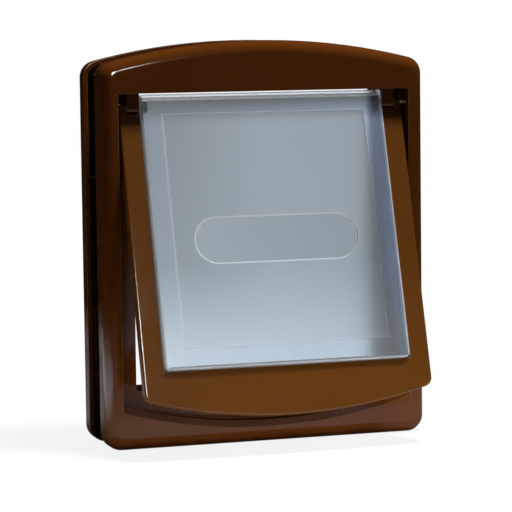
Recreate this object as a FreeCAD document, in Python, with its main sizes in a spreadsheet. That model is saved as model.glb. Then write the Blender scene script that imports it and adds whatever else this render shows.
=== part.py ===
import FreeCAD, Part
import math
import os

import Sketcher

# Two-way cat flap for a door leaf: an outer and an inner moulded frame with telescoping collars,
# a U-shaped flap border that opens outwards and a clear tray pane that opens inwards through it.
# Frame of reference: X to the right seen from outdoors, Y into the house, Z up.
# Origin: middle of the plane in which the outer frame's rim meets the door leaf.

DIMENSIONS = {
    # Frames
    "frame_width": 198.0,
    "frame_height": 236.0,
    "frame_depth": 15.0,
    "arch_rise": 13.0,
    "corner_radius": 10.0,
    "face_rounding": 7.0,
    "skin": 2.5,
    "recess_wall": 2.0,
    "door_thickness": 25.0,
    # Bands of the face round the opening, and the opening's curved sill
    "side_band": 10.0,
    "head_band": 29.5,
    "sill_height": 13.0,
    "sill_drop": 13.3,
    "sill_chamfer": 3.5,
    # Lip that the flap closes on, and the passage behind it
    "lip_thickness": 2.0,
    "lip_width": 11.5,
    "floor_rise": 20.0,
    "collar_wall": 2.0,
    "collar_gap": 0.5,
    "outer_collar_gap": 2.0,
    "inner_collar_gap": 8.0,
    # Stiffening ribs in the hollow sides, from the frame's bottom and top edge
    "rib_thickness": 1.6,
    "rib_lowest": 40.0,
    "rib_highest": 79.0,
    "rib_count": 4,
    "rib_setback": 2.0,
    # Screws, inserts and caps
    "screw_inset": 15.0,
    "screw_height": 13.0,
    "screw_rise": 7.0,
    "boss_radius": 4.8,
    "insert_flats": 6.0,
    "insert_length": 8.0,
    "screw_radius": 1.95,
    "screw_clearance": 0.05,
    "screw_hole_radius": 2.3,
    "screw_engagement": 7.0,
    "head_radius": 3.5,
    "head_height": 2.2,
    "counterbore_radius": 4.0,
    "counterbore_depth": 4.5,
    "cap_clearance": 0.05,
    "cap_plug": 1.8,
    "cap_stand": 0.5,
    # Hinge line, from the opening's top and from the lip's face
    "hinge_drop": 8.5,
    "hinge_to_lip": 2.5,
    "hinge_pin_radius": 1.25,
    "hinge_pin_clearance": 0.05,
    "hinge_pin_reach": 2.4,
    "hinge_pin_head_radius": 2.3,
    "hinge_pin_head": 1.0,
    "hinge_boss_radius": 3.6,
    "hinge_boss_length": 2.2,
    "knuckle_radius": 4.0,
    "knuckle_gap": 0.4,
    "lug_width": 4.2,
    "lug_gap": 0.5,
    # Opening angle of the whole flap as it is shown
    "rest_angle": 16.3,
    # Flap border
    "border_gap": 2.0,
    "lip_gap": 0.3,
    "foot_gap": 2.2,
    "foot_depth": 28.1,
    "arm_width": 12.25,
    "border_front": 3.0,
    "border_drop": 12.4,
    "border_corner": 5.5,
    "border_edge": 1.2,
    "border_skin": 2.2,
    "border_wall": 1.8,
    "channel_corner": 2.1,
    "channel_drop": 10.0,
    "lug_relief": 0.1,
    # Tray pane
    "pane_gap": 0.5,
    "ceiling_gap": 1.7,
    "pane_front": 5.4,
    "pane_depth": 14.0,
    "pane_sheet": 2.0,
    "pane_wall": 1.8,
    "pane_corner": 3.0,
    "pane_top_corner": 1.4,
    "pane_edge": 1.2,
    "pane_top_depth": 8.6,
    "pane_cut_drop": 3.0,
    "pane_boss_radius": 3.2,
    "pane_boss_length": 2.6,
    "margin": 12.3,
    "margin_step": 0.4,
    "plaque_width": 99.0,
    "plaque_height": 27.0,
    "plaque_offset": 6.8,
    "plaque_recess": 0.4,
    # Catches that make the border follow the pane outwards
    "catch_reach": 1.3,
    "catch_depth": 1.6,
    "catch_length": 5.0,
    "catch_count": 5,
    "catch_first": 27.0,
    "catch_last": 15.2,
    "catch_gap": 0.3,
    # Magnets
    "magnet_length": 40.0,
    "magnet_height": 8.0,
    "magnet_thickness": 2.4,
    "magnet_fit": 0.1,
    "magnet_housing": 1.6,
    "magnet_rise": 11.0,
}

PLANE_TOLERANCE = 1e-4
SILL_TOLERANCE = 0.01


class Size:
    """A length in millimetres and the expression that ties it to the sheet."""

    def __init__(self, value, text):
        self.value = float(value)
        self.text = text

    def __add__(self, other):
        other = as_size(other)
        return Size(self.value + other.value, f"({self.text} + {other.text})")

    def __sub__(self, other):
        other = as_size(other)
        return Size(self.value - other.value, f"({self.text} - {other.text})")

    def __mul__(self, other):
        other = as_size(other)
        return Size(self.value * other.value, f"({self.text} * {other.text})")

    def __truediv__(self, other):
        other = as_size(other)
        return Size(self.value / other.value, f"({self.text} / {other.text})")

    def __neg__(self):
        return Size(-self.value, f"(0 - {self.text})")


def as_size(number):
    if isinstance(number, Size):
        return number
    return Size(number, f"{number:g}")


def root(size):
    return Size(math.sqrt(size.value), f"sqrt({size.text})")


ZERO = as_size(0)

doc = FreeCAD.newDocument("CatFlap")
sheet = doc.addObject("Spreadsheet::Sheet", "Sizes")


class Sheet:
    """Gives each named cell of the sheet as a Size."""

    def __init__(self, dimensions):
        for row, (name, value) in enumerate(dimensions.items(), start=1):
            sheet.set(f"A{row}", name)
            sheet.set(f"B{row}", str(value))
            sheet.setAlias(f"B{row}", name)
            setattr(self, name, Size(value, f"Sizes.{name}"))
        doc.recompute()


D = Sheet(DIMENSIONS)

MIDDLE = D.frame_height / 2
HALF_OPENING = D.frame_width / 2 - D.side_band
OPENING_TOP = MIDDLE - D.head_band
SILL = D.sill_height - MIDDLE
SILL_RADIUS = (HALF_OPENING * HALF_OPENING + D.sill_drop * D.sill_drop) / (D.sill_drop * 2)
LIP_DEPTH = D.frame_depth - D.lip_thickness
HALF_PASSAGE = HALF_OPENING - D.lip_width
PASSAGE_FLOOR = SILL + D.floor_rise
RIB_SPACING = (D.frame_height - D.rib_lowest - D.rib_highest) / (D.rib_count - 1)
HINGE_Z = OPENING_TOP - D.hinge_drop
HINGE_Y = -D.lip_thickness - D.hinge_to_lip
HALF_BORDER = HALF_OPENING - D.border_gap
BORDER_LENGTH = HINGE_Z - SILL - D.foot_gap
BORDER_REAR = D.hinge_to_lip - D.lip_gap
BORDER_THICKNESS = D.border_front + BORDER_REAR
HALF_APERTURE = HALF_BORDER - D.arm_width
APERTURE_LENGTH = BORDER_LENGTH - D.foot_depth
ARM_TOP = -D.knuckle_radius - D.knuckle_gap
LUG_INSIDE = HALF_BORDER - D.lug_width
HALF_PANE = HALF_APERTURE - D.pane_gap
PANE_LENGTH = APERTURE_LENGTH - D.pane_gap
PANE_TOP = D.hinge_drop - D.ceiling_gap
PANE_REAR = D.pane_depth - D.pane_front
PLAQUE_LEVEL = (PANE_TOP - PANE_LENGTH) / 2 - D.plaque_offset
CATCH_SPACING = (PANE_LENGTH - D.catch_first - D.catch_last) / (D.catch_count - 1)
MAGNET_Z = SILL + D.magnet_rise
SCREW_X = D.frame_width / 2 - D.screw_inset
SCREW_LOW = D.screw_height - MIDDLE
SCREW_HIGH = OPENING_TOP + D.screw_rise
SCREW_PLACES = {
    "lower_left": (-SCREW_X, SCREW_LOW),
    "lower_right": (SCREW_X, SCREW_LOW),
    "upper_left": (-SCREW_X, SCREW_HIGH),
    "upper_right": (SCREW_X, SCREW_HIGH),
}


def bind(item, name, size):
    item.setExpression(name, as_size(size).text)


def new_body(name):
    body = doc.addObject("PartDesign::Body", name)
    body.Label = name
    return body


def origin_item(body, role):
    for item in body.Origin.OriginFeatures:
        if item.Role == role:
            return item
    raise ValueError(role)


def new_sketch(body, name, plane="XZ_Plane", height=ZERO):
    sketch = body.newObject("Sketcher::SketchObject", name)
    sketch.AttachmentSupport = [(origin_item(body, plane), "")]
    sketch.MapMode = "FlatFace"
    bind(sketch, "AttachmentOffset.Base.z", height)
    return sketch


def tie(sketch, constraint, name, size):
    index = sketch.addConstraint(constraint)
    sketch.renameConstraint(index, name)
    bind(sketch, f"Constraints.{name}", size)


def fix_point(sketch, geometry, end, name, point):
    across, along = point
    tie(sketch, Sketcher.Constraint("DistanceX", -1, 1, geometry, end, across.value), name + "x", across)
    tie(sketch, Sketcher.Constraint("DistanceY", -1, 1, geometry, end, along.value), name + "y", along)


def arc_between(start, end, radius, centre_on_left):
    """The arc from start to end, with the place of its first and last point in the sketch."""
    chord = end - start
    side = FreeCAD.Vector(-chord.y, chord.x, 0)
    side.normalize()
    reach = math.sqrt(radius ** 2 - (chord.Length / 2) ** 2)
    centre = start + chord * 0.5 + side * (reach if centre_on_left else -reach)
    first, last = (start, end) if centre_on_left else (end, start)
    angles = [math.atan2(point.y - centre.y, point.x - centre.x) for point in (first, last)]
    if angles[1] < angles[0]:
        angles[1] += 2 * math.pi
    circle = Part.Circle(centre, FreeCAD.Vector(0, 0, 1), radius)
    return Part.ArcOfCircle(circle, *angles)


def draw_outline(sketch, points, arcs=None, prefix="p"):
    """Closes an outline through the points. arcs maps a side's first point to (radius, centre on left)."""
    arcs = arcs or {}
    places = [FreeCAD.Vector(across.value, along.value, 0) for across, along in points]
    ends = []
    for number, start in enumerate(places):
        end = places[(number + 1) % len(places)]
        if number in arcs:
            radius, centre_on_left = arcs[number]
            index = sketch.addGeometry(arc_between(start, end, radius.value, centre_on_left), False)
            ends.append((index, 1, 2) if centre_on_left else (index, 2, 1))
        else:
            index = sketch.addGeometry(Part.LineSegment(start, end), False)
            ends.append((index, 1, 2))
    for number, (index, first, last) in enumerate(ends):
        following, following_first, _ = ends[(number + 1) % len(ends)]
        sketch.addConstraint(Sketcher.Constraint("Coincident", index, last, following, following_first))
    for number, (index, first, last) in enumerate(ends):
        fix_point(sketch, index, first, f"{prefix}{number}", points[number])
        if number in arcs:
            radius = arcs[number][0]
            tie(sketch, Sketcher.Constraint("Radius", index, radius.value), f"{prefix}{number}r", radius)


def draw_rectangle(sketch, left, right, low, high, prefix="p"):
    draw_outline(sketch, [(left, low), (right, low), (right, high), (left, high)], prefix=prefix)


def draw_circle(sketch, place, radius, name):
    centre = FreeCAD.Vector(place[0].value, place[1].value, 0)
    index = sketch.addGeometry(Part.Circle(centre, FreeCAD.Vector(0, 0, 1), radius.value), False)
    fix_point(sketch, index, 3, name, place)
    tie(sketch, Sketcher.Constraint("Radius", index, radius.value), name + "r", radius)


def add_feature(body, kind, name, sketch, length, backwards=False):
    feature = body.newObject(kind, name)
    feature.Profile = sketch
    feature.Reversed = backwards
    bind(feature, "Length", length)
    doc.recompute()
    return feature


def pad(body, name, sketch, length, backwards=False):
    return add_feature(body, "PartDesign::Pad", name, sketch, length, backwards)


def pocket(body, name, sketch, length, backwards=False):
    before = body.Shape.Volume
    feature = add_feature(body, "PartDesign::Pocket", name, sketch, length, backwards)
    if body.Shape.Volume > before - PLANE_TOLERANCE:
        raise ValueError(f"{name} cuts nothing")
    return feature


def pattern(body, name, feature, axis, spacing, count, backwards=False):
    """Repeats a feature along one of the body's axes, spacing by spacing."""
    copies = body.newObject("PartDesign::LinearPattern", name)
    copies.Originals = [feature]
    copies.Direction = (origin_item(body, axis), [""])
    copies.Reversed = backwards
    copies.Mode = "Spacing"
    bind(copies, "Offset", spacing)
    bind(copies, "Occurrences", count)
    body.Tip = copies
    doc.recompute()
    return copies


def edges_where(feature, chosen):
    return [f"Edge{number}" for number, edge in enumerate(feature.Shape.Edges, start=1) if chosen(edge)]


def dress(body, kind, name, chosen, size):
    """Rounds or chamfers the chosen edges of the body as it stands."""
    feature = body.newObject(kind, name)
    base = feature.BaseFeature or body.Tip
    feature.Base = (base, edges_where(base, chosen))
    bind(feature, "Radius" if kind == "PartDesign::Fillet" else "Size", size)
    doc.recompute()
    return feature


def fillet(body, name, chosen, radius):
    return dress(body, "PartDesign::Fillet", name, chosen, radius)


def chamfer(body, name, chosen, size):
    return dress(body, "PartDesign::Chamfer", name, chosen, size)


def flat_at_y(level):
    """Chooses the edges that lie in the plane at this Y."""
    def chosen(edge):
        box = edge.BoundBox
        return abs(box.YMin - level) < PLANE_TOLERANCE and abs(box.YMax - level) < PLANE_TOLERANCE
    return chosen


def along_y(test):
    """Chooses the straight edges that run along Y and pass the test on their middle."""
    def chosen(edge):
        box = edge.BoundBox
        straight = box.XLength < PLANE_TOLERANCE and box.ZLength < PLANE_TOLERANCE
        return straight and test(box.Center)
    return chosen


def arched_outline(inset):
    """Points and arcs of the frame's outline with its rounded corners, moved inwards by the inset."""
    full_half = D.frame_width / 2
    full_radius = (full_half * full_half + D.arch_rise * D.arch_rise) / (D.arch_rise * 2)
    arch_centre = MIDDLE - full_radius
    half = full_half - inset
    radius = full_radius - inset
    corner = D.corner_radius - inset
    inner = half - corner
    corner_height = root((radius - corner) * (radius - corner) - inner * inner)
    stretch = radius / (radius - corner)
    low = inset - MIDDLE
    shoulder = arch_centre + corner_height
    arch_end = arch_centre + corner_height * stretch
    arch_half = inner * stretch
    points = [
        (-inner, low), (inner, low), (half, low + corner), (half, shoulder),
        (arch_half, arch_end), (-arch_half, arch_end), (-half, shoulder), (-half, low + corner),
    ]
    arcs = {1: (corner, True), 3: (corner, True), 4: (radius, True), 5: (corner, True), 7: (corner, True)}
    return points, arcs


def opening_outline(grow):
    """Points and arc of the opening, with the curved sill, moved outwards by grow."""
    half = HALF_OPENING + grow
    radius = SILL_RADIUS + grow
    sill_end = SILL + SILL_RADIUS - root(radius * radius - half * half)
    top = OPENING_TOP + grow
    points = [(-half, sill_end), (half, sill_end), (half, top), (-half, top)]
    return points, {0: (radius, True)}


def outline_sketch(body, name, outline, height=ZERO):
    sketch = new_sketch(body, name, height=height)
    draw_outline(sketch, *outline)
    return sketch


def frame_shell(body):
    """Arched, rounded cover with a hollow back, ribs, screw bosses and the walled opening with its lip."""
    pad(body, "Cover", outline_sketch(body, "CoverOutline", arched_outline(ZERO)), D.frame_depth)
    hollow_depth = D.frame_depth - D.skin
    hollow = outline_sketch(body, "HollowOutline", arched_outline(D.skin))
    pocket(body, "Hollow", hollow, hollow_depth, backwards=True)
    chamfer(body, "HollowChamfer", flat_at_y(-hollow_depth.value), D.face_rounding - D.skin)

    block = outline_sketch(body, "RecessBlockOutline", opening_outline(D.recess_wall))
    pad(body, "RecessBlock", block, D.frame_depth - D.skin / 2)
    bosses = new_sketch(body, "ScrewBossCircles")
    for number, place in enumerate(SCREW_PLACES.values()):
        draw_circle(bosses, place, D.boss_radius, f"c{number}")
    pad(body, "ScrewBosses", bosses, D.frame_depth - D.skin / 2)
    add_ribs(body)
    fillet(body, "FaceRounding", flat_at_y(-D.frame_depth.value), D.face_rounding)


def add_ribs(body):
    """Ribs from the outer wall to the recess wall, evenly spaced up both sides."""
    inner = HALF_OPENING + D.recess_wall / 2
    outer = D.frame_width / 2 - D.skin / 2
    lowest = D.rib_lowest - MIDDLE
    sketch = new_sketch(body, "RibSections", height=D.rib_setback)
    half = D.rib_thickness / 2
    draw_rectangle(sketch, -outer, -inner, lowest - half, lowest + half, prefix="left")
    draw_rectangle(sketch, inner, outer, lowest - half, lowest + half, prefix="right")
    rib = pad(body, "Rib", sketch, D.frame_depth - D.rib_setback - D.skin / 2)
    pattern(body, "Ribs", rib, "Z_Axis", RIB_SPACING, D.rib_count)


def cut_opening(body):
    """The opening in the face, as deep as the lip, with the chamfer along its curved sill."""
    opening = outline_sketch(body, "OpeningOutline", opening_outline(ZERO), D.frame_depth)
    pocket(body, "Opening", opening, LIP_DEPTH)
    on_face = flat_at_y(-D.frame_depth.value)

    def sill_edge(edge):
        box = edge.BoundBox
        at_sill = abs(box.ZMin - SILL.value) < SILL_TOLERANCE
        return on_face(edge) and at_sill and box.XLength > HALF_OPENING.value

    chamfer(body, "SillChamfer", sill_edge, D.sill_chamfer)


def passage_rectangle(sketch, grow):
    side = HALF_PASSAGE + grow
    draw_rectangle(sketch, -side, side, PASSAGE_FLOOR - grow, OPENING_TOP + grow)


def add_collar(body, gap, length):
    """A rectangular collar behind the lip, with the passage cut through it."""
    sleeve = new_sketch(body, "CollarOutline", height=D.lip_thickness)
    passage_rectangle(sleeve, gap + D.collar_wall)
    pad(body, "Collar", sleeve, length + D.lip_thickness, backwards=True)
    bore = new_sketch(body, "PassageOutline", height=LIP_DEPTH)
    passage_rectangle(bore, gap)
    pocket(body, "Passage", bore, LIP_DEPTH + length)


def screw_circles(body, name, radius, height):
    sketch = new_sketch(body, name, height=height)
    for number, place in enumerate(SCREW_PLACES.values()):
        draw_circle(sketch, place, radius, f"c{number}")
    return sketch


def draw_hexagon(sketch, place, flats, prefix="p"):
    """A regular hexagon about the place, with two of its flats level."""
    across, along = place
    corner = flats / root(as_size(3))
    draw_outline(sketch, [
        (across + corner, along), (across + corner / 2, along + flats / 2),
        (across - corner / 2, along + flats / 2), (across - corner, along),
        (across - corner / 2, along - flats / 2), (across + corner / 2, along - flats / 2),
    ], prefix=prefix)


def make_outer_frame():
    body = new_body("outer_frame")
    frame_shell(body)
    add_collar(body, ZERO, D.door_thickness - D.outer_collar_gap)
    cut_opening(body)
    add_knuckles(body)
    inserts = new_sketch(body, "InsertHexagons")
    for number, place in enumerate(SCREW_PLACES.values()):
        draw_hexagon(inserts, place, D.insert_flats, prefix=f"h{number}c")
    pocket(body, "InsertHoles", inserts, D.insert_length, backwards=True)
    add_hinge_seats(body)
    add_magnet_housing(body)
    return body


def add_knuckles(body):
    """Hinge knuckles in the opening's top corners, between the pane and the border's lugs."""
    front = HINGE_Y - D.knuckle_radius
    low = HINGE_Z - D.knuckle_radius
    high = OPENING_TOP + D.recess_wall / 2
    width = LUG_INSIDE - D.lug_gap - HALF_APERTURE
    for side, backwards in (("Right", False), ("Left", True)):
        inside = -HALF_APERTURE if backwards else HALF_APERTURE
        sketch = new_sketch(body, f"Knuckle{side}Outline", "YZ_Plane", inside)
        draw_outline(sketch, [
            (HINGE_Y, low), (ZERO, low), (ZERO, high), (front, high), (front, HINGE_Z),
        ], {4: (D.knuckle_radius, True)})
        pad(body, f"Knuckle{side}", sketch, width, backwards)


def add_hinge_seats(body):
    """A boss on the outside of each recess wall, drilled with its knuckle for the hinge pin."""
    inner = HALF_APERTURE
    reach = HALF_OPENING + D.recess_wall + D.hinge_boss_length
    for side, backwards in (("Right", False), ("Left", True)):
        start = HALF_OPENING + D.recess_wall / 2
        offset = -start if backwards else start
        sketch = new_sketch(body, f"HingeBossCircle{side}", "YZ_Plane", offset)
        draw_circle(sketch, (HINGE_Y, HINGE_Z), D.hinge_boss_radius, "c")
        pad(body, f"HingeBoss{side}", sketch, reach - start, backwards)
        bore = new_sketch(body, f"HingeBore{side}Circle", "YZ_Plane", -inner if backwards else inner)
        draw_circle(bore, (HINGE_Y, HINGE_Z), D.hinge_pin_radius + D.hinge_pin_clearance, "c")
        pocket(body, f"HingeBore{side}", bore, reach - inner, not backwards)


def add_magnet_housing(body):
    """A walled pocket in the bottom lip, open to the front, for the sill's magnet."""
    half = D.magnet_length / 2 + D.magnet_fit
    rise = D.magnet_height / 2 + D.magnet_fit
    wall = D.magnet_housing
    front = D.lip_thickness
    block = new_sketch(body, "MagnetHousingOutline", height=front)
    draw_rectangle(block, -half - wall, half + wall, MAGNET_Z - rise - wall, MAGNET_Z + rise + wall)
    pad(body, "MagnetHousing", block, D.magnet_thickness + D.magnet_fit + wall, backwards=True)
    seat = new_sketch(body, "MagnetSeatOutline", height=front)
    draw_rectangle(seat, -half, half, MAGNET_Z - rise, MAGNET_Z + rise)
    pocket(body, "MagnetSeat", seat, D.magnet_thickness + D.magnet_fit)


def turn_to_inside(body):
    """Places a body that is modelled as the outer frame is, so that it faces indoors."""
    body.Placement = FreeCAD.Placement(
        FreeCAD.Vector(0, D.door_thickness.value, 0), FreeCAD.Rotation(FreeCAD.Vector(0, 0, 1), 180))
    bind(body, "Placement.Base.y", D.door_thickness)


def make_inner_frame():
    body = new_body("inner_frame")
    frame_shell(body)
    add_collar(body, D.collar_wall + D.collar_gap, D.door_thickness - D.inner_collar_gap)
    cut_opening(body)
    holes = screw_circles(body, "ScrewHoleCircles", D.screw_hole_radius, D.frame_depth)
    pocket(body, "ScrewHoles", holes, D.frame_depth)
    bores = screw_circles(body, "CounterboreCircles", D.counterbore_radius, D.frame_depth)
    pocket(body, "Counterbores", bores, D.counterbore_depth)
    turn_to_inside(body)
    return body


def place_on_flap(item):
    """Turns an item that is modelled about the hinge line to the flap's opening angle."""
    item.Placement = FreeCAD.Placement(
        FreeCAD.Vector(0, HINGE_Y.value, HINGE_Z.value),
        FreeCAD.Rotation(FreeCAD.Vector(1, 0, 0), -D.rest_angle.value))
    bind(item, "Placement.Base.y", HINGE_Y)
    bind(item, "Placement.Base.z", HINGE_Z)
    bind(item, "Placement.Rotation.Angle", -D.rest_angle)


def make_flap_border():
    """U-shaped border with a curved foot, hollow behind, a hinge lug on each arm's outer side."""
    body = new_body("flap_border")
    outer_radius = (HALF_BORDER * HALF_BORDER + D.border_drop * D.border_drop) / (D.border_drop * 2)
    foot_end = D.border_drop - BORDER_LENGTH
    lug_top = BORDER_REAR
    sketch = new_sketch(body, "BorderOutline", height=-BORDER_REAR)
    draw_outline(sketch, [
        (-HALF_BORDER, foot_end), (HALF_BORDER, foot_end), (HALF_BORDER, lug_top),
        (LUG_INSIDE, lug_top), (LUG_INSIDE, ARM_TOP), (HALF_APERTURE, ARM_TOP),
        (HALF_APERTURE, -APERTURE_LENGTH), (-HALF_APERTURE, -APERTURE_LENGTH),
        (-HALF_APERTURE, ARM_TOP), (-LUG_INSIDE, ARM_TOP), (-LUG_INSIDE, lug_top), (-HALF_BORDER, lug_top),
    ], {0: (outer_radius, True)})
    pad(body, "BorderPlate", sketch, BORDER_THICKNESS)
    lowest = foot_end.value + PLANE_TOLERANCE
    foot_corner = along_y(lambda middle: middle.z < lowest)
    fillet(body, "FootCorners", foot_corner, D.border_corner)
    on_front = flat_at_y(-D.border_front.value)
    across = HALF_APERTURE.value + PLANE_TOLERANCE
    bottom = -APERTURE_LENGTH.value - PLANE_TOLERANCE
    top = ARM_TOP.value - PLANE_TOLERANCE

    def outer_front_edge(edge):
        middle = edge.valueAt((edge.FirstParameter + edge.LastParameter) / 2)
        inside = abs(middle.x) < across and middle.z > bottom
        return on_front(edge) and not inside and middle.z < top

    fillet(body, "FrontEdge", outer_front_edge, D.border_edge)

    def lug_edge(edge):
        box = edge.BoundBox
        return box.ZMin > lug_top.value - PLANE_TOLERANCE and box.YLength < PLANE_TOLERANCE

    fillet(body, "LugRounding", lug_edge, BORDER_REAR - D.lug_relief)
    wall = D.border_wall
    inner_radius = outer_radius - wall
    inner_half = HALF_BORDER - wall
    hollow_end = outer_radius - BORDER_LENGTH - root(inner_radius * inner_radius - inner_half * inner_half)
    channel = new_sketch(body, "ChannelOutline", height=-BORDER_REAR)
    channel_top = -D.channel_drop
    corner = D.channel_corner
    draw_outline(channel, [
        (corner - inner_half, hollow_end), (inner_half - corner, hollow_end),
        (inner_half, hollow_end + D.border_corner), (inner_half, channel_top),
        (HALF_APERTURE + wall, channel_top), (HALF_APERTURE + wall, -APERTURE_LENGTH - wall),
        (-HALF_APERTURE - wall, -APERTURE_LENGTH - wall), (-HALF_APERTURE - wall, channel_top),
        (-inner_half, channel_top), (-inner_half, hollow_end + D.border_corner),
    ], {0: (inner_radius, True)})
    pocket(body, "Channel", channel, BORDER_THICKNESS - D.border_skin, backwards=True)
    add_border_magnet_seat(body)
    bore = new_sketch(body, "LugBoreCircle", "YZ_Plane", -HALF_BORDER)
    draw_circle(bore, (ZERO, ZERO), D.hinge_pin_radius + D.hinge_pin_clearance, "c")
    pocket(body, "LugBores", bore, HALF_BORDER * 2, backwards=True)
    place_on_flap(body)
    return body


def border_magnet_z():
    return MAGNET_Z - HINGE_Z


def add_border_magnet_seat(body):
    """A raised seat in the hollow of the border's foot, for the flap's magnet."""
    half = D.magnet_length / 2 + D.magnet_fit
    rise = D.magnet_height / 2 + D.magnet_fit
    wall = D.magnet_housing
    level = border_magnet_z()
    block = new_sketch(body, "MagnetSeatBlockOutline", height=-BORDER_REAR)
    draw_rectangle(block, -half - wall, half + wall, level - rise - wall, level + rise + wall)
    pad(body, "MagnetSeatBlock", block, BORDER_THICKNESS - D.border_skin / 2)
    seat = new_sketch(body, "MagnetSeatOutline", height=-BORDER_REAR)
    draw_rectangle(seat, -half, half, level - rise, level + rise)
    pocket(body, "MagnetSeat", seat, D.magnet_thickness + D.magnet_fit, backwards=True)


def make_flap_pane():
    """Clear tray: a front sheet with deep side walls, hinge bosses and catches along its sides."""
    body = new_body("flap_pane")
    sketch = new_sketch(body, "TrayOutline", height=-PANE_REAR)
    draw_rectangle(sketch, -HALF_PANE, HALF_PANE, -PANE_LENGTH, PANE_TOP)
    pad(body, "Tray", sketch, D.pane_depth)
    fillet(body, "LowerCorners", along_y(lambda middle: middle.z < 0), D.pane_corner)
    fillet(body, "UpperCorners", along_y(lambda middle: middle.z > 0), D.pane_top_corner)
    chamfer(body, "TrayFrontEdge", flat_at_y(-D.pane_front.value), D.pane_edge)
    wall = D.pane_wall
    hollow = new_sketch(body, "TrayHollowOutline", height=-PANE_REAR)
    draw_rectangle(hollow, wall - HALF_PANE, HALF_PANE - wall, wall - PANE_LENGTH, PANE_TOP - wall)
    pocket(body, "TrayHollow", hollow, D.pane_depth - D.pane_sheet, backwards=True)
    cut_tray_top(body)
    add_pane_bosses(body)
    add_pane_fields(body)
    add_catches(body)
    place_on_flap(body)
    return body


def cut_tray_top(body):
    """Slopes the side walls and shortens the top wall, so that the tray turns under the opening's top."""
    sketch = new_sketch(body, "TopCutOutline", "YZ_Plane", -HALF_PANE - D.pane_edge)
    top_rear = D.pane_top_depth - D.pane_front
    above = PANE_TOP + D.pane_edge
    behind = PANE_REAR + D.pane_edge
    draw_outline(sketch, [
        (behind, -D.pane_cut_drop), (behind, above), (top_rear, above), (top_rear, PANE_TOP / 2),
        (PANE_REAR, -D.pane_cut_drop),
    ])
    pocket(body, "TopCut", sketch, HALF_PANE * 2 + D.pane_edge * 2, backwards=True)


def add_pane_bosses(body):
    """A hinge boss inside each side wall, drilled from outside."""
    bore_radius = D.hinge_pin_radius + D.hinge_pin_clearance
    depth = D.pane_wall + D.pane_boss_length
    for side, backwards in (("Right", False), ("Left", True)):
        outside = -HALF_PANE if backwards else HALF_PANE
        inside = outside + depth if backwards else outside - depth
        boss = new_sketch(body, f"PivotBoss{side}Circle", "YZ_Plane", inside)
        draw_circle(boss, (ZERO, ZERO), D.pane_boss_radius, "c")
        pad(body, f"PivotBoss{side}", boss, depth - D.pane_wall / 2, backwards)
        bore = new_sketch(body, f"PivotBore{side}Circle", "YZ_Plane", outside)
        draw_circle(bore, (ZERO, ZERO), bore_radius, "c")
        pocket(body, f"PivotBore{side}", bore, D.pane_boss_length, backwards)


def add_pane_fields(body):
    """The stepped middle field behind the sheet and the bare pill-shaped plaque in its front."""
    inset = D.margin
    field = new_sketch(body, "FieldOutline", height=D.pane_front - D.pane_sheet)
    draw_rectangle(field, inset - HALF_PANE, HALF_PANE - inset, inset - PANE_LENGTH, PANE_TOP - inset)
    pocket(body, "Field", field, D.margin_step, backwards=True)
    end_radius = D.plaque_height / 2
    straight = D.plaque_width / 2 - end_radius
    low = PLAQUE_LEVEL - end_radius
    high = PLAQUE_LEVEL + end_radius
    plaque = new_sketch(body, "PlaqueOutline", height=D.pane_front)
    middle = PLAQUE_LEVEL
    draw_outline(plaque, [
        (-straight, low), (straight, low), (D.plaque_width / 2, middle), (straight, high),
        (-straight, high), (-D.plaque_width / 2, middle),
    ], {1: (end_radius, True), 2: (end_radius, True), 4: (end_radius, True), 5: (end_radius, True)})
    pocket(body, "Plaque", plaque, D.plaque_recess)


def add_catches(body):
    """Small catches behind the border's arms: pushed outwards, the pane takes the border with it."""
    front = BORDER_REAR + D.catch_gap
    root_x = HALF_PANE - D.pane_wall / 2
    tip = HALF_PANE + D.catch_reach
    half = D.catch_length / 2
    first = -D.catch_first
    sketch = new_sketch(body, "CatchSections", height=-front)
    draw_rectangle(sketch, -tip, -root_x, first - half, first + half, prefix="left")
    draw_rectangle(sketch, root_x, tip, first - half, first + half, prefix="right")
    catch = pad(body, "Catch", sketch, D.catch_depth, backwards=True)
    pattern(body, "Catches", catch, "Z_Axis", CATCH_SPACING, D.catch_count, backwards=True)


def revolve(name, points, axis, plane="XY_Plane"):
    """A turned piece: the section's points are given in the plane and turned about the body's axis."""
    body = new_body(name)
    sketch = new_sketch(body, "Section", plane)
    draw_outline(sketch, points)
    turned = body.newObject("PartDesign::Revolution", "Turned")
    turned.Profile = sketch
    turned.ReferenceAxis = (origin_item(body, axis), [""])
    doc.recompute()
    return body


def make_hinge_pin(side):
    """Headed pin, pushed in from the frame's hollow through frame, border and pane."""
    inner = HALF_PANE - D.hinge_pin_reach
    seat = HALF_OPENING + D.recess_wall + D.hinge_boss_length
    body = revolve(f"hinge_pin_{side}", [
        (inner, ZERO), (seat + D.hinge_pin_head, ZERO),
        (seat + D.hinge_pin_head, D.hinge_pin_head_radius), (seat, D.hinge_pin_head_radius),
        (seat, D.hinge_pin_radius), (inner, D.hinge_pin_radius),
    ], "X_Axis")
    turn = 180 if side == "left" else 0
    body.Placement = FreeCAD.Placement(
        FreeCAD.Vector(0, HINGE_Y.value, HINGE_Z.value), FreeCAD.Rotation(FreeCAD.Vector(0, 0, 1), turn))
    bind(body, "Placement.Base.y", HINGE_Y)
    bind(body, "Placement.Base.z", HINGE_Z)
    return body


def place_at_screw(body, place):
    body.Placement.Base = FreeCAD.Vector(place[0].value, 0, place[1].value)
    bind(body, "Placement.Base.x", place[0])
    bind(body, "Placement.Base.z", place[1])


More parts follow.
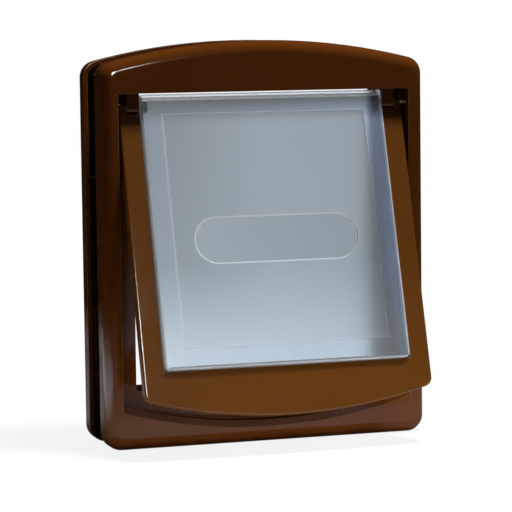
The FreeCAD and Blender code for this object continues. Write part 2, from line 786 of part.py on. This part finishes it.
def make_fasteners(corner, place):
    """Screw, hexagonal threaded insert and screw cap of one corner."""
    inner_face = D.door_thickness + D.frame_depth
    head_seat = inner_face - D.counterbore_depth
    tip = -D.screw_engagement
    screw = revolve(f"fixing_screw_{corner}", [
        (ZERO, tip), (D.screw_radius, tip), (D.screw_radius, head_seat),
        (D.head_radius, head_seat), (D.head_radius, head_seat + D.head_height),
        (ZERO, head_seat + D.head_height),
    ], "Y_Axis")
    place_at_screw(screw, place)
    insert = new_body(f"threaded_insert_{corner}")
    hexagon = new_sketch(insert, "Hexagon")
    draw_hexagon(hexagon, (ZERO, ZERO), D.insert_flats)
    pad(insert, "HexagonBar", hexagon, D.insert_length)
    bore = new_sketch(insert, "BoreCircle")
    draw_circle(bore, (ZERO, ZERO), D.screw_radius + D.screw_clearance, "c")
    pocket(insert, "Bore", bore, D.insert_length, backwards=True)
    place_at_screw(insert, place)
    plug = D.counterbore_radius - D.cap_clearance
    cap = revolve(f"screw_cap_{corner}", [
        (ZERO, inner_face - D.cap_plug), (plug, inner_face - D.cap_plug),
        (plug, inner_face + D.cap_stand), (ZERO, inner_face + D.cap_stand),
    ], "Y_Axis")
    place_at_screw(cap, place)
    return [screw, insert, cap]


def make_sill_magnet():
    """Bar magnet, flush with the front of the lip."""
    box = doc.addObject("Part::Box", "sill_magnet")
    box.Label = "sill_magnet"
    bind(box, "Length", D.magnet_length)
    bind(box, "Width", D.magnet_thickness)
    bind(box, "Height", D.magnet_height)
    bind(box, "Placement.Base.x", -D.magnet_length / 2)
    bind(box, "Placement.Base.y", -D.lip_thickness)
    bind(box, "Placement.Base.z", MAGNET_Z - D.magnet_height / 2)
    return box


def make_flap_magnet():
    """Bar magnet, flush with the rear of the border's foot."""
    body = new_body("flap_magnet")
    level = border_magnet_z()
    half = D.magnet_length / 2
    rise = D.magnet_height / 2
    sketch = new_sketch(body, "MagnetOutline", height=-BORDER_REAR)
    draw_rectangle(sketch, -half, half, level - rise, level + rise)
    pad(body, "Magnet", sketch, D.magnet_thickness)
    place_on_flap(body)
    return body


def build():
    pieces = [make_outer_frame(), make_inner_frame(), make_flap_border(), make_flap_pane()]
    pieces += [make_hinge_pin("left"), make_hinge_pin("right")]
    pieces += [make_sill_magnet(), make_flap_magnet()]
    for corner, place in SCREW_PLACES.items():
        pieces += make_fasteners(corner, place)
    doc.recompute()
    return pieces


def check(pieces):
    for item in doc.Objects:
        if "Invalid" in item.State or "Error" in item.State:
            raise ValueError(f"{item.Name}: {item.State}")
    for piece in pieces:
        if piece.Shape.isNull() or not piece.Shape.isValid():
            raise ValueError(f"{piece.Label} has no valid shape")


def write(pieces):
    os.makedirs("parts", exist_ok=True)
    for piece in pieces:
        piece.Shape.exportStep(f"parts/{piece.Label}.step")
        box = piece.Shape.BoundBox
        size = f"{box.XLength:.1f} x {box.YLength:.1f} x {box.ZLength:.1f} mm"
        print(f"{piece.Label}: {len(piece.Shape.Solids)} solid, {piece.Shape.Volume:.1f} mm3, {size}")


pieces = build()
check(pieces)
write(pieces)
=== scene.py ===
import math
from functools import reduce

import bpy
from mathutils import Matrix, Vector


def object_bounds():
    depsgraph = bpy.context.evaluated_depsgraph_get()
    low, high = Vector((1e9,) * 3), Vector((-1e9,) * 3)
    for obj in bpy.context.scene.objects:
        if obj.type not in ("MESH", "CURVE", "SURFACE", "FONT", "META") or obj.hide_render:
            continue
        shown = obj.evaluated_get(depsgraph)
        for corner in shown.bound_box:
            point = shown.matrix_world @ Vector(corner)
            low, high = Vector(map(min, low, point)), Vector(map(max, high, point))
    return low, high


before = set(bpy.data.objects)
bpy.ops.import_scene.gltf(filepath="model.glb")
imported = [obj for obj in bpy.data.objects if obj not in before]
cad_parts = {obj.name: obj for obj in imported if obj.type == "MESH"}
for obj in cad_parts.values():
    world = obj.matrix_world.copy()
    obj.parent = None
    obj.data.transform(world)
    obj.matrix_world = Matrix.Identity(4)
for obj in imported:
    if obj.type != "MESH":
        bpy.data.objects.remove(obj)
cad_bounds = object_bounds()

MM = 0.001

# Camera, from the photograph's perspective
YAW = math.radians(18.32)
PITCH = math.radians(5.40)
ROLL = math.radians(-0.72)
DISTANCE = 1436 * MM
FOCAL_PIXELS = 2431
IMAGE_PIXELS = 512
SENSOR = 36
SHIFT_RIGHT = -2.29 * MM
SHIFT_UP = -9.11 * MM

# Flap frame: origin on the hinge line, Y through the flap, Z up along it
HINGE = Vector((0, -4.5 * MM, 80 * MM))
REST_ANGLE = math.radians(16.3)
HALF_PANE = 74.25 * MM
PANE_TOP = 6.8 * MM
PANE_LENGTH = 154.2 * MM
MARGIN = 12.3 * MM
PLAQUE_HALF = 49.5 * MM
PLAQUE_RADIUS = 13.5 * MM
PLAQUE_LEVEL = -80.5 * MM

# Most of a noise texture's values lie between these
NOISE_LOW, NOISE_HIGH = 0.3, 0.7

# Edges: the mask grows as the cosine between rounded and true normal falls
EDGE_RADIUS = 0.6 * MM
EDGE_STARTS, EDGE_FULL = 0.99, 0.92

# Brown plastic: dark and light ends of its clouding. The frame's copy is darker by painted shade and the
# flap's copy lighter by painted light, for one and the same plastic
FRAME_BROWN_SHADED = (0.094, 0.0255, 0.0032), (0.106, 0.0295, 0.0042)
FLAP_BROWN_LIT = (0.128, 0.0430, 0.0070), (0.142, 0.0485, 0.0088)
BROWN_GLOSS = 0.07, 0.11
BROWN_IOR = 1.5
# Lighter colour on edges: partly scuff wear, partly a painted highlight where edges catch the light
SCUFF_AND_EDGE_HIGHLIGHT_COLOUR = (0.34, 0.19, 0.11)
SCUFF_AND_EDGE_HIGHLIGHT_COVER = 0.8
SCUFF_AND_EDGE_HIGHLIGHT_PATCHES = 0.4, 1.0
SCUFF_ROUGHNESS = 0.32
GRAIN_SHARE = 0.12
PEEL_DEPTH = 0.06 * MM

# Clear plastic
PANE_IOR = 1.49
WALL_STARTS, WALL_ENDS = 0.8 * MM, 1.4 * MM
TOP_RIM_STARTS, TOP_RIM_ENDS = 3.4 * MM, 4.2 * MM
STEP_BLUR = 0.3 * MM
PLAQUE_BLUR = 0.2 * MM
LINE_STARTS, LINE_ENDS = 0.30 * MM, 0.65 * MM
STEP_HIGHLIGHT, PLAQUE_HIGHLIGHT = 0.30, 0.45
# Across the pane the colour runs from a darker left to a lighter right: painted shade and painted light
FROSTED_LEFT_SHADED, FROSTED_RIGHT_LIT = (0.24, 0.285, 0.325), (0.385, 0.445, 0.497)
FROSTED_SHADING_SPAN = -70 * MM, -5 * MM
FROSTED_CLOUD, FROSTED_CLOUDING = (0.30, 0.34, 0.38), 0.1
MARGIN_LEFT_SHADED, MARGIN_RIGHT_LIT = (0.275, 0.325, 0.38), (0.54, 0.65, 0.84)
# Painted light towards the pane's foot, and a painted shadow of the frame's head under its top
FOOT_PAINTED_LIGHT, FOOT_LIGHT_SPAN, FOOT_LIGHT_COVER = (0.55, 0.62, 0.69), (5 * MM, 60 * MM), 0.95
HEAD_PAINTED_SHADOW, HEAD_SHADOW_SPAN = (0.17, 0.20, 0.205), (4 * MM, 17 * MM)
PLAQUE_COLOUR = (0.345, 0.398, 0.445)
# Painted highlight: near-white colour for the pane's walls, top rim, edges and fine lines
PAINTED_HIGHLIGHT_COLOUR = (0.90, 0.93, 0.97)
EDGE_HIGHLIGHT_SHARE = 0.7
MARGIN_ROUGHNESS, FIELD_ROUGHNESS = 0.26, 0.34
SHEET_CLEAR, WALL_CLEAR, TOP_RIM_CLEAR = 0.82, 0.35, 0.92
FROST_DEPTH = 0.03 * MM

# Metals: dark and light colour, noise scale, roughness range
ZINC = (0.42, 0.42, 0.40), (0.66, 0.65, 0.62), 400, (0.22, 0.38)
BRASS = (0.52, 0.36, 0.14), (0.72, 0.53, 0.25), 400, (0.2, 0.35)
FERRITE = (0.05, 0.05, 0.055), (0.12, 0.12, 0.125), 700, (0.45, 0.65)
METAL_DEPTH = 0.04 * MM

# Surroundings
WHITE = (1.0, 1.0, 1.0)
FLOOR_Z = cad_bounds[0][2]
FLOOR_LEFT, FLOOR_RIGHT, FLOOR_FRONT, FLOOR_BACK = -0.95, 0.95, -0.9, 1.0
AMBIENT = 0.02
MIRRORED_AMBIENT = 0.005
FLOOR_MOTTLE = 0.96, 1.0
FLOOR_NEAR, FLOOR_WIDE = (0.16, 0.42), (0.30, 0.80)
LIGHTING_SHARE, SHADOW_SHARE, MIRROR_SHARE = 0.75, 0.12, 0.28
NEAR_GLOW = 0.87

# Parts of the floor that glow only for reflected rays, as a painted reflection: a card at the left and a
# strip in front
CARD_LEVEL, CARD_X, CARD_Y, CARD_REACH = 2.2, (-0.30, -0.20), (-0.32, -0.24), (0.28, 0.62)
STRIP_LEVEL, STRIP_FRONT, STRIP_BACK = 0.26, (-0.14, -0.115), (-0.06, -0.045)
STRIP_REACH, STRIP_REST = (0.10, 0.26), 0.2
CARD_COLOUR = (0.86, 0.96, 1.0)

# Lamps that the arch mirrors as a streak from its left corner
STREAK_START = Vector((-0.088, -1.083, 0.356))
STREAK_RUN = Vector((0.296, 0.065, 0.131))
STREAK_TARGET = (-0.07, -0.01, 0.12)


class Graph:
    """Builds a node tree by short calls."""

    def __init__(self, tree):
        self.tree = tree
        tree.nodes.clear()

    def add(self, kind, **values):
        node = self.tree.nodes.new(kind)
        for name, value in values.items():
            setattr(node, name, value)
        return node

    def plug(self, socket, value):
        if isinstance(value, bpy.types.NodeSocket):
            self.tree.links.new(value, socket)
        else:
            socket.default_value = value

    def plug_colour(self, socket, value):
        self.plug(socket, value if isinstance(value, bpy.types.NodeSocket) else (*value, 1))

    def math(self, operation, *values):
        node = self.add("ShaderNodeMath", operation=operation)
        for socket, value in zip(node.inputs, values):
            self.plug(socket, value)
        return node.outputs[0]

    def product(self, *values):
        return reduce(lambda first, second: self.math("MULTIPLY", first, second), values)

    def total(self, *values):
        return reduce(lambda first, second: self.math("ADD", first, second), values)

    def most(self, *values):
        return reduce(lambda first, second: self.math("MAXIMUM", first, second), values)

    def least(self, *values):
        return reduce(lambda first, second: self.math("MINIMUM", first, second), values)

    def minus(self, first, second):
        return self.math("SUBTRACT", first, second)

    def size(self, value):
        return self.math("ABSOLUTE", value)

    def spread(self, value, low, high, to_low=0.0, to_high=1.0):
        node = self.add("ShaderNodeMapRange")
        for name, number in (("Value", value), ("From Min", low), ("From Max", high),
                             ("To Min", to_low), ("To Max", to_high)):
            self.plug(node.inputs[name], number)
        return node.outputs[0]

    def fade(self, value, low, high, level=1.0, rest=0.0):
        """The level up to low, falling to the rest at high."""
        return self.spread(value, low, high, level, rest)

    def vary(self, noise, low, high):
        return self.spread(noise, NOISE_LOW, NOISE_HIGH, low, high)

    def blend(self, mask, first, second):
        """The first number where the mask is 0, the second where it is 1."""
        return self.spread(mask, 0.0, 1.0, first, second)

    def ramp(self, factor, dark, light):
        node = self.add("ShaderNodeValToRGB")
        elements = node.color_ramp.elements
        for element, place, colour in zip(elements, (NOISE_LOW, NOISE_HIGH), (dark, light)):
            element.position = place
            element.color = (*colour, 1)
        self.plug(node.inputs[0], factor)
        return node.outputs[0]

    def noise(self, vector, scale, detail=2.0):
        node = self.add("ShaderNodeTexNoise")
        self.plug(node.inputs["Vector"], vector)
        node.inputs["Scale"].default_value = scale
        node.inputs["Detail"].default_value = detail
        return node.outputs["Fac"]

    def bump(self, height, distance, normal=None):
        node = self.add("ShaderNodeBump")
        self.plug(node.inputs["Height"], height)
        node.inputs["Distance"].default_value = distance
        if normal is not None:
            self.plug(node.inputs["Normal"], normal)
        return node.outputs[0]

    def edges(self, radius):
        """The normal rounded over edges, and a mask that is 1 on edges and 0 on open faces."""
        bevel = self.add("ShaderNodeBevel", samples=8)
        bevel.inputs["Radius"].default_value = radius
        flat = self.add("ShaderNodeNewGeometry").outputs["Normal"]
        dot = self.add("ShaderNodeVectorMath", operation="DOT_PRODUCT")
        self.plug(dot.inputs[0], bevel.outputs[0])
        self.plug(dot.inputs[1], flat)
        return bevel.outputs[0], self.spread(dot.outputs["Value"], EDGE_STARTS, EDGE_FULL)

    def mix_colour(self, factor, first, second):
        node = self.add("ShaderNodeMix", data_type="RGBA")
        self.plug(node.inputs["Factor"], factor)
        self.plug_colour(node.inputs[6], first)
        self.plug_colour(node.inputs[7], second)
        return node.outputs[2]

    def axes(self, vector):
        split = self.add("ShaderNodeSeparateXYZ")
        self.plug(split.inputs[0], vector)
        return split.outputs

    def object_place(self):
        return self.add("ShaderNodeTexCoord").outputs["Object"]

    def finish_surface(self, shader):
        output = self.add("ShaderNodeOutputMaterial")
        self.plug(output.inputs["Surface"], shader)


def new_material(name):
    material = bpy.data.materials.new(name)
    material.use_nodes = True
    return material, Graph(material.node_tree)


def principled(graph, **values):
    node = graph.add("ShaderNodeBsdfPrincipled")
    for name, value in values.items():
        graph.plug(node.inputs[name.replace("_", " ")], value)
    return node.outputs[0]


def make_brown_plastic(name, dark, light):
    """Gloss plastic, softly clouded, with orange peel, and edges lightened partly as scuffs and partly as
    a painted highlight.
    """
    material, graph = new_material(name)
    place = graph.object_place()
    rounded, edge = graph.edges(EDGE_RADIUS)
    # Edges lightened in patches: scuff wear together with a painted edge highlight
    patches = graph.vary(graph.noise(place, 240, 4), *SCUFF_AND_EDGE_HIGHLIGHT_PATCHES)
    scuff_and_edge_highlight = graph.product(edge, patches)
    colour = graph.ramp(graph.noise(place, 22, 3), dark, light)
    colour = graph.mix_colour(graph.product(scuff_and_edge_highlight, SCUFF_AND_EDGE_HIGHLIGHT_COVER), colour, SCUFF_AND_EDGE_HIGHLIGHT_COLOUR)
    gloss = graph.vary(graph.noise(place, 60, 4), *BROWN_GLOSS)
    roughness = graph.total(gloss, graph.product(scuff_and_edge_highlight, SCUFF_ROUGHNESS))
    peel, grain = graph.noise(place, 130), graph.noise(place, 900)
    height = graph.total(peel, graph.product(grain, GRAIN_SHARE))
    shader = principled(graph, Base_Color=colour, Roughness=roughness, IOR=BROWN_IOR,
                        Normal=graph.bump(height, PEEL_DEPTH, rounded))
    graph.finish_surface(shader)
    return material


def make_metal(name, dark, light, scale, rough):
    material, graph = new_material(name)
    speckle = graph.noise(graph.object_place(), scale, 3)
    colour = graph.mix_colour(speckle, dark, light)
    shader = principled(graph, Base_Color=colour, Roughness=graph.vary(speckle, *rough), Metallic=1.0,
                        Normal=graph.bump(speckle, METAL_DEPTH))
    graph.finish_surface(shader)
    return material


def flap_place(graph):
    """Coordinates in the flap's own frame."""
    mapping = graph.add("ShaderNodeMapping", vector_type="TEXTURE")
    graph.plug(mapping.inputs["Vector"], graph.object_place())
    mapping.inputs["Location"].default_value = HINGE
    mapping.inputs["Rotation"].default_value = (-REST_ANGLE, 0, 0)
    return mapping.outputs[0]


def distance_to_plaque(graph, across, up):
    """Distance from the plaque's straight core, on which its rounded ends are centred."""
    beyond = graph.most(graph.minus(graph.size(across), PLAQUE_HALF - PLAQUE_RADIUS), 0.0)
    above = graph.minus(up, PLAQUE_LEVEL)
    return graph.math("SQRT", graph.total(graph.product(beyond, beyond), graph.product(above, above)))


def highlight_line(graph, distance, line, strength):
    off = graph.size(graph.minus(distance, line))
    return graph.fade(off, LINE_STARTS, LINE_ENDS, strength)


def pane_colour(graph, place, field, plaque):
    """Frosting with painted light and shade: darker under the top as a painted shadow of the frame's
    head, darker at the left as painted shade, and lighter towards the foot as painted light.
    """
    across, _, up = graph.axes(place)
    bottom, top = graph.total(up, PANE_LENGTH), graph.minus(PANE_TOP, up)
    # Painted shade at the left and painted light at the right, in the field and in the margin
    shaded_frost = graph.mix_colour(graph.spread(across, *FROSTED_SHADING_SPAN), FROSTED_LEFT_SHADED, FROSTED_RIGHT_LIT)
    clouding = graph.vary(graph.noise(place, 25), 0.0, FROSTED_CLOUDING)
    shaded_frost = graph.mix_colour(clouding, shaded_frost, FROSTED_CLOUD)
    margin = graph.mix_colour(graph.spread(across, -HALF_PANE, HALF_PANE), MARGIN_LEFT_SHADED, MARGIN_RIGHT_LIT)
    colour = graph.mix_colour(field, margin, shaded_frost)
    # Painted light lightens the foot; a painted shadow darkens the top under the frame's head
    colour = graph.mix_colour(graph.fade(bottom, *FOOT_LIGHT_SPAN, FOOT_LIGHT_COVER), colour, FOOT_PAINTED_LIGHT)
    colour = graph.mix_colour(graph.fade(top, *HEAD_SHADOW_SPAN), colour, HEAD_PAINTED_SHADOW)
    return graph.mix_colour(plaque, colour, PLAQUE_COLOUR)


def make_clear_plastic():
    """Frosted sheet with a stepped field and plaque, between walls and edges painted bright as a
    highlight, with painted highlight lines along the step and round the plaque.
    """
    material, graph = new_material("clear_plastic_frosted")
    place = flap_place(graph)
    across, _, up = graph.axes(place)
    rounded, edge = graph.edges(EDGE_RADIUS)
    sides = graph.least(graph.minus(HALF_PANE, graph.size(across)), graph.total(up, PANE_LENGTH))
    top = graph.minus(PANE_TOP, up)
    inset = graph.least(sides, top)
    field = graph.spread(inset, MARGIN - STEP_BLUR, MARGIN + STEP_BLUR)
    wall = graph.fade(sides, WALL_STARTS, WALL_ENDS)
    rim = graph.most(wall, graph.fade(top, TOP_RIM_STARTS, TOP_RIM_ENDS))
    from_core = distance_to_plaque(graph, across, up)
    plaque = graph.fade(from_core, PLAQUE_RADIUS - PLAQUE_BLUR, PLAQUE_RADIUS + PLAQUE_BLUR)
    # Painted highlight: bright lines on the walls, the top rim, the step, the plaque's outline and the
    # edges
    painted_highlight = graph.most(rim, highlight_line(graph, inset, MARGIN, STEP_HIGHLIGHT),
                          highlight_line(graph, from_core, PLAQUE_RADIUS, PLAQUE_HIGHLIGHT),
                          graph.product(edge, EDGE_HIGHLIGHT_SHARE))
    colour = graph.mix_colour(painted_highlight, pane_colour(graph, place, field, plaque), PAINTED_HIGHLIGHT_COLOUR)
    roughness = graph.blend(field, MARGIN_ROUGHNESS, FIELD_ROUGHNESS)
    clear = graph.blend(graph.minus(rim, wall), graph.blend(wall, SHEET_CLEAR, WALL_CLEAR), TOP_RIM_CLEAR)
    frost = graph.bump(graph.noise(place, 1400), FROST_DEPTH, rounded)
    shader = principled(graph, Base_Color=colour, Roughness=roughness, IOR=PANE_IOR,
                        Transmission_Weight=clear, Normal=frost)
    graph.finish_surface(shader)
    return material


def dress_nodes():
    # One brown plastic in two copies: the frame's darkened as painted shade, the flap's lightened as
    # painted light
    brown = make_brown_plastic("brown_plastic_frame_shaded", *FRAME_BROWN_SHADED)
    lit_flap_brown = make_brown_plastic("brown_plastic_flap_lit", *FLAP_BROWN_LIT)
    clear = make_clear_plastic()
    steel = make_metal("zinc_plated_steel", *ZINC)
    brass = make_metal("turned_brass", *BRASS)
    magnet = make_metal("magnet_ferrite", *FERRITE)
    looks = {"outer_frame": brown, "inner_frame": brown, "flap_border": lit_flap_brown,
             "flap_pane": clear, "hinge_pin": steel, "sill_magnet": magnet, "flap_magnet": magnet,
             "fixing_screw": steel, "threaded_insert": brass, "screw_cap": brown}
    for name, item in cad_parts.items():
        for start, look in looks.items():
            if name.startswith(start):
                for slot in item.material_slots:
                    slot.material = look


def camera_axes():
    level = math.cos(PITCH)
    forward = Vector((math.sin(YAW) * level, math.cos(YAW) * level, -math.sin(PITCH)))
    right = Vector((math.cos(YAW), -math.sin(YAW), 0))
    up = right.cross(forward)
    return forward, right, up


def make_camera():
    forward, right, up = camera_axes()
    image_right = right * math.cos(ROLL) + up * math.sin(ROLL)
    image_up = up * math.cos(ROLL) - right * math.sin(ROLL)
    data = bpy.data.cameras.new("camera")
    data.sensor_width = SENSOR
    data.lens = FOCAL_PIXELS * SENSOR / IMAGE_PIXELS
    camera = bpy.data.objects.new("camera", data)
    place = -forward * DISTANCE + right * SHIFT_RIGHT + up * SHIFT_UP
    turn = Matrix((image_right, image_up, -forward)).transposed().to_4x4()
    camera.matrix_world = Matrix.Translation(place) @ turn
    bpy.context.scene.collection.objects.link(camera)
    bpy.context.scene.camera = camera


def add_light(name, place, target, size, power, along=(1, 0, 0), mirrored=False, spread=180):
    """Area light whose width runs along the given direction as nearly as its aim allows.

    It is either seen in reflections only, or lights the matt part of surfaces only.
    """
    data = bpy.data.lights.new(name, "AREA")
    data.shape = "RECTANGLE"
    data.size, data.size_y = size
    data.energy = power
    data.spread = math.radians(spread)
    light = bpy.data.objects.new(name, data)
    behind = (Vector(place) - Vector(target)).normalized()
    upright = behind.cross(Vector(along)).normalized()
    turn = Matrix((upright.cross(behind), upright, behind)).transposed().to_4x4()
    light.matrix_world = Matrix.Translation(Vector(place)) @ turn
    light.visible_camera = False
    light.visible_diffuse = not mirrored
    light.visible_glossy = mirrored
    light.visible_transmission = False
    bpy.context.scene.collection.objects.link(light)


def make_lights():
    middle = (0, 0, 0)
    add_light("key", (0.20, -0.20, 1.08), middle, (0.20, 0.20), 16.2)
    add_light("rear_fill", (-0.05, 1.30, 0.06), middle, (0.5, 0.3), 7.2)
    add_light("left_fill", (-1.20, 0.30, 0.35), middle, (0.4, 0.4), 1.5)
    add_light("right_fill", (1.20, 0.25, 0.45), middle, (0.4, 0.4), 2.2)
    add_light("foot_card", (0, -0.042, FLOOR_Z + 1 * MM), (0, -0.042, 0), (0.24, 0.045), 0.040)
    add_light("low_fill", (0.03, -0.45, -0.05), (0.03, 0, -0.095), (0.24, 0.04), 0.025, spread=30)
    for name, place, length, height, power in (("strip_near_corner", 0.12, 0.45, 0.18, 5.6),
                                               ("strip_far", 0.56, 0.44, 0.09, 1.0)):
        add_light(name, STREAK_START + STREAK_RUN * place, STREAK_TARGET,
                  (STREAK_RUN.length * length, height), power, along=STREAK_RUN, mirrored=True)


def seen_directly(graph):
    """Masks for rays straight from the camera or through the pane, and for mirrored rays."""
    rays = graph.add("ShaderNodeLightPath").outputs
    unscattered = graph.math("LESS_THAN", rays["Diffuse Depth"], 0.5)
    through = graph.product(rays["Is Transmission Ray"], unscattered)
    return graph.most(rays["Is Camera Ray"], through), rays["Is Glossy Ray"]


def make_world():
    """White where it is seen, and a faint fill for everything else."""
    world = bpy.data.worlds.new("world")
    world.use_nodes = True
    bpy.context.scene.world = world
    graph = Graph(world.node_tree)
    seen, mirrored = seen_directly(graph)
    background = graph.add("ShaderNodeBackground")
    graph.plug_colour(background.inputs["Color"], WHITE)
    unseen = graph.blend(mirrored, AMBIENT, MIRRORED_AMBIENT)
    graph.plug(background.inputs["Strength"], graph.blend(seen, unseen, 1.0))
    output = graph.add("ShaderNodeOutputWorld")
    graph.plug(output.inputs["Surface"], background.outputs[0])


def floor_albedo(graph, place, distance, seen, mirrored):
    """How much of the lamps' light the floor gives back, to each kind of ray."""
    hidden = graph.minus(1.0, graph.most(seen, mirrored))
    near = graph.fade(distance, *FLOOR_NEAR)
    wide = graph.fade(distance, *FLOOR_WIDE)
    albedo = graph.total(graph.product(hidden, near, LIGHTING_SHARE),
                         graph.product(seen, near, SHADOW_SHARE),
                         graph.product(mirrored, wide, MIRROR_SHARE))
    return graph.product(albedo, graph.vary(graph.noise(place, 3), *FLOOR_MOTTLE))


def mirrored_glow(graph, place, distance):
    """The glow that only reflected rays see, a painted reflection: the card at the left and the strip in
    front.
    """
    x, y, _ = graph.axes(place)
    card = graph.product(graph.fade(x, *CARD_X, CARD_LEVEL), graph.spread(y, *CARD_Y),
                         graph.fade(distance, *CARD_REACH))
    strip = graph.product(graph.spread(y, *STRIP_FRONT), graph.fade(y, *STRIP_BACK, STRIP_LEVEL),
                          graph.fade(distance, *STRIP_REACH, 1.0, STRIP_REST))
    return graph.total(card, strip)


def make_floor_material():
    """Keeps a faint shadow near the object, and glows up to the world's white further out."""
    material, graph = new_material("floor_white")
    place = graph.object_place()
    flat = graph.add("ShaderNodeVectorMath", operation="MULTIPLY")
    graph.plug(flat.inputs[0], place)
    flat.inputs[1].default_value = (1, 1, 0)
    away = graph.add("ShaderNodeVectorMath", operation="LENGTH")
    graph.plug(away.inputs[0], flat.outputs[0])
    distance = away.outputs["Value"]
    seen, mirrored = seen_directly(graph)
    albedo = floor_albedo(graph, place, distance, seen, mirrored)
    grey = graph.add("ShaderNodeCombineColor")
    for socket in grey.inputs:
        graph.plug(socket, albedo)
    matt = graph.add("ShaderNodeBsdfDiffuse")
    graph.plug(matt.inputs["Color"], grey.outputs[0])
    white = graph.product(seen, graph.blend(graph.fade(distance, *FLOOR_NEAR), 1.0, NEAR_GLOW))
    glow = graph.add("ShaderNodeEmission")
    shine = graph.product(mirrored, mirrored_glow(graph, place, distance))
    graph.plug(glow.inputs["Strength"], graph.total(white, shine))
    graph.plug(glow.inputs["Color"], graph.mix_colour(mirrored, WHITE, CARD_COLOUR))
    both = graph.add("ShaderNodeAddShader")
    graph.plug(both.inputs[0], matt.outputs[0])
    graph.plug(both.inputs[1], glow.outputs[0])
    graph.finish_surface(both.outputs[0])
    return material


def make_floor():
    mesh = bpy.data.meshes.new("floor")
    corners = [(FLOOR_LEFT, FLOOR_FRONT, FLOOR_Z), (FLOOR_RIGHT, FLOOR_FRONT, FLOOR_Z),
               (FLOOR_RIGHT, FLOOR_BACK, FLOOR_Z), (FLOOR_LEFT, FLOOR_BACK, FLOOR_Z)]
    mesh.from_pydata(corners, [], [(0, 1, 2, 3)])
    floor = bpy.data.objects.new("floor", mesh)
    bpy.context.scene.collection.objects.link(floor)
    mesh.materials.append(make_floor_material())


dress_nodes()
make_camera()
make_lights()
make_world()
make_floor()
bpy.context.scene.view_settings.view_transform = "Standard"
